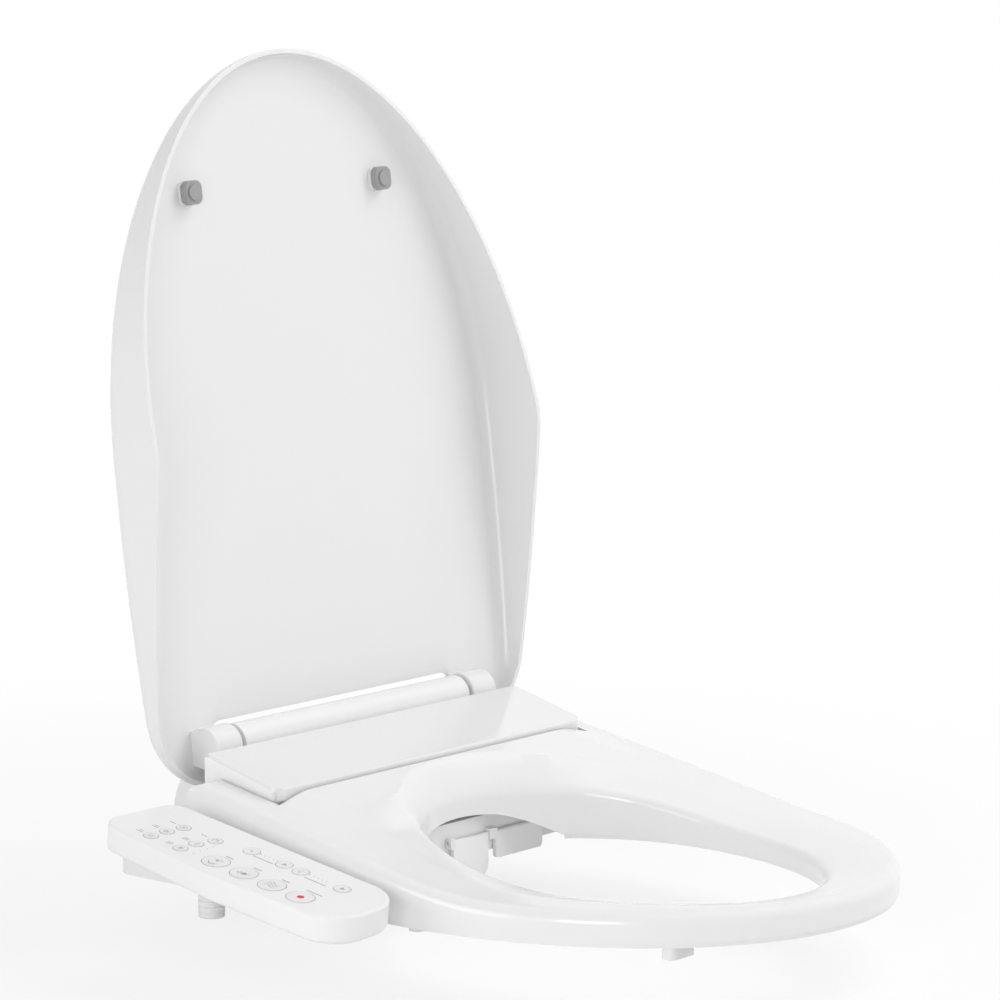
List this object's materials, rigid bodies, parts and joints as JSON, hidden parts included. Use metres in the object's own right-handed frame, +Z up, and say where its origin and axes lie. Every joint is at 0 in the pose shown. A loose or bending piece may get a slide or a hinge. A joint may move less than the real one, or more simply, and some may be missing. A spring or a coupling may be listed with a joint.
{
  "type": "electric bidet seat",
  "caption": "Electric bidet toilet seat: domed hinged lid, contoured heated seat ring, sloping base with a nozzle and a dryer, and a side control panel with round keys.",
  "frame": {"origin": "midway between the two bowl bolts, on the rim of the bowl", "axes": "+Z up, front of the seat towards -Y, control panel on the -X side"},
  "size_m": [0.4553, 0.4917, 0.5543],
  "materials": {
    "shell_white": "glossy moulded white",
    "cover_white": "polished white",
    "seat_white": "glossy moulded white",
    "panel_white": "glossy white with printed rings",
    "key_white": "satin white",
    "flap_white": "glossy moulded white",
    "grey_rubber": "matte grey",
    "plate_grey": "matte grey",
    "pin_steel": "turned",
    "damper_black": "matte black",
    "nozzle_white": "satin white",
    "motor_metal": "painted dark grey",
    "fan_black": "matte black",
    "heater_steel": "drawn wire",
    "tank_cream": "matte cream",
    "inlet_white": "satin white",
    "board_green": "solder mask green",
    "film_amber": "amber film"
  },
  "bodies": {
    "base": {"base_lower": "shell_white", "base_upper": "shell_white", "top_cover": "cover_white", "mounting_plate": "plate_grey", "lid_damper": "damper_black", "lid_hinge_pin": "pin_steel", "seat_damper": "damper_black", "seat_hinge_pin": "pin_steel", "nozzle_cradle": "nozzle_white", "nozzle_motor": "motor_metal", "fan_housing": "fan_black", "dryer_duct": "fan_black", "dryer_heater": "heater_steel", "water_heater": "tank_cream", "water_inlet": "inlet_white", "inlet_valve": "tank_cream", "main_board": "board_green", "transformer": "motor_metal", "cord_gland": "grey_rubber", "panel_upper": "panel_white", "panel_lower": "shell_white", "panel_board": "board_green", "panel_arm": "shell_white", "panel_foot": "grey_rubber"},
    "lid": {"lid_shell": "shell_white", "lid_bumper_posts": "shell_white", "lid_bumper_tips": "grey_rubber"},
    "seat": {"seat_top": "seat_white", "seat_bottom": "seat_white", "seat_heater_film": "film_amber", "seat_bumpers": "grey_rubber"},
    "nozzle": {"nozzle_wand": "nozzle_white"},
    "pinion": {"nozzle_pinion": "nozzle_white"},
    "gate": {"nozzle_gate": "flap_white"},
    "flap": {"dryer_flap": "flap_white"},
    "impeller": {"fan_impeller": "fan_black"},
    "release": {"release_button": "shell_white"},
    "wash_rear_key": {"key_wash_rear": "key_white"},
    "wash_front_key": {"key_wash_front": "key_white"},
    "dry_key": {"key_dry": "key_white"},
    "stop_key": {"key_stop": "key_white"},
    "pressure_less_key": {"key_pressure_less": "key_white"},
    "pressure_more_key": {"key_pressure_more": "key_white"},
    "nozzle_back_key": {"key_nozzle_back": "key_white"},
    "nozzle_front_key": {"key_nozzle_front": "key_white"},
    "seat_heat_key": {"key_seat_heat": "key_white"},
    "water_heat_key": {"key_water_heat": "key_white"},
    "air_heat_key": {"key_air_heat": "key_white"},
    "light_key": {"key_light": "key_white"},
    "saving_key": {"key_saving": "key_white"},
    "power_key": {"key_power": "key_white"}
  },
  "joints": [
    {"name": "lid_hinge", "type": "hinge", "parent": "base", "child": "lid", "pos_m": [0, -0.035, 0.086], "axis": [-1, 0, 0], "range_deg": [-105.8, 0]},
    {"name": "seat_hinge", "type": "hinge", "parent": "base", "child": "seat", "pos_m": [0, -0.066, 0.058], "axis": [-1, 0, 0], "range_deg": [0, 100]},
    {"name": "nozzle_slide", "type": "slide", "parent": "base", "child": "nozzle", "axis": [0, -0.866, -0.5], "range_m": [0, 0.066]},
    {"name": "pinion_spin", "type": "hinge", "parent": "base", "child": "pinion", "pos_m": [0.0165, -0.0976, 0.03234], "axis": [1, 0, 0], "range_deg": [-600, 30]},
    {"name": "gate_hinge", "type": "hinge", "parent": "base", "child": "gate", "pos_m": [0.0165, -0.13, 0.013], "axis": [-1, 0, 0], "range_deg": [0, 109]},
    {"name": "flap_hinge", "type": "hinge", "parent": "base", "child": "flap", "pos_m": [0.067, -0.13, 0.013], "axis": [-1, 0, 0], "range_deg": [0, 60]},
    {"name": "impeller_spin", "type": "hinge", "parent": "base", "child": "impeller", "pos_m": [0.067, -0.045, 0.02], "axis": [0, 0, 1], "continuous": true},
    {"name": "release_press", "type": "slide", "parent": "base", "child": "release", "axis": [-1, 0, 0], "range_m": [0, 0.003], "stiffness_N_per_m": 400},
    {"name": "wash_rear_press", "type": "slide", "parent": "base", "child": "wash_rear_key", "axis": [0.061, 0.1613, -0.985], "range_m": [0, 0.0008], "stiffness_N_per_m": 600},
    {"name": "wash_front_press", "type": "slide", "parent": "base", "child": "wash_front_key", "axis": [0.061, 0.1613, -0.985], "range_m": [0, 0.0008], "stiffness_N_per_m": 600},
    {"name": "dry_press", "type": "slide", "parent": "base", "child": "dry_key", "axis": [0.061, 0.1613, -0.985], "range_m": [0, 0.0008], "stiffness_N_per_m": 600},
    {"name": "stop_press", "type": "slide", "parent": "base", "child": "stop_key", "axis": [0.061, 0.1613, -0.985], "range_m": [0, 0.0008], "stiffness_N_per_m": 600},
    {"name": "pressure_less_press", "type": "slide", "parent": "base", "child": "pressure_less_key", "axis": [0.061, 0.1613, -0.985], "range_m": [0, 0.0008], "stiffness_N_per_m": 600},
    {"name": "pressure_more_press", "type": "slide", "parent": "base", "child": "pressure_more_key", "axis": [0.061, 0.1613, -0.985], "range_m": [0, 0.0008], "stiffness_N_per_m": 600},
    {"name": "nozzle_back_press", "type": "slide", "parent": "base", "child": "nozzle_back_key", "axis": [0.061, 0.1613, -0.985], "range_m": [0, 0.0008], "stiffness_N_per_m": 600},
    {"name": "nozzle_front_press", "type": "slide", "parent": "base", "child": "nozzle_front_key", "axis": [0.061, 0.1613, -0.985], "range_m": [0, 0.0008], "stiffness_N_per_m": 600},
    {"name": "seat_heat_press", "type": "slide", "parent": "base", "child": "seat_heat_key", "axis": [0.061, 0.1613, -0.985], "range_m": [0, 0.0008], "stiffness_N_per_m": 600},
    {"name": "water_heat_press", "type": "slide", "parent": "base", "child": "water_heat_key", "axis": [0.061, 0.1613, -0.985], "range_m": [0, 0.0008], "stiffness_N_per_m": 600},
    {"name": "air_heat_press", "type": "slide", "parent": "base", "child": "air_heat_key", "axis": [0.061, 0.1613, -0.985], "range_m": [0, 0.0008], "stiffness_N_per_m": 600},
    {"name": "light_press", "type": "slide", "parent": "base", "child": "light_key", "axis": [0.061, 0.1613, -0.985], "range_m": [0, 0.0008], "stiffness_N_per_m": 600},
    {"name": "saving_press", "type": "slide", "parent": "base", "child": "saving_key", "axis": [0.061, 0.1613, -0.985], "range_m": [0, 0.0008], "stiffness_N_per_m": 600},
    {"name": "power_press", "type": "slide", "parent": "base", "child": "power_key", "axis": [0.061, 0.1613, -0.985], "range_m": [0, 0.0008], "stiffness_N_per_m": 600}
  ],
  "couplings": [
    {"joint": "pinion_spin", "follows": "nozzle_slide", "rad_per_m": -142.86},
    {"joint": "gate_hinge", "follows": "nozzle_slide", "rad_per_m": 28.56}
  ]
}
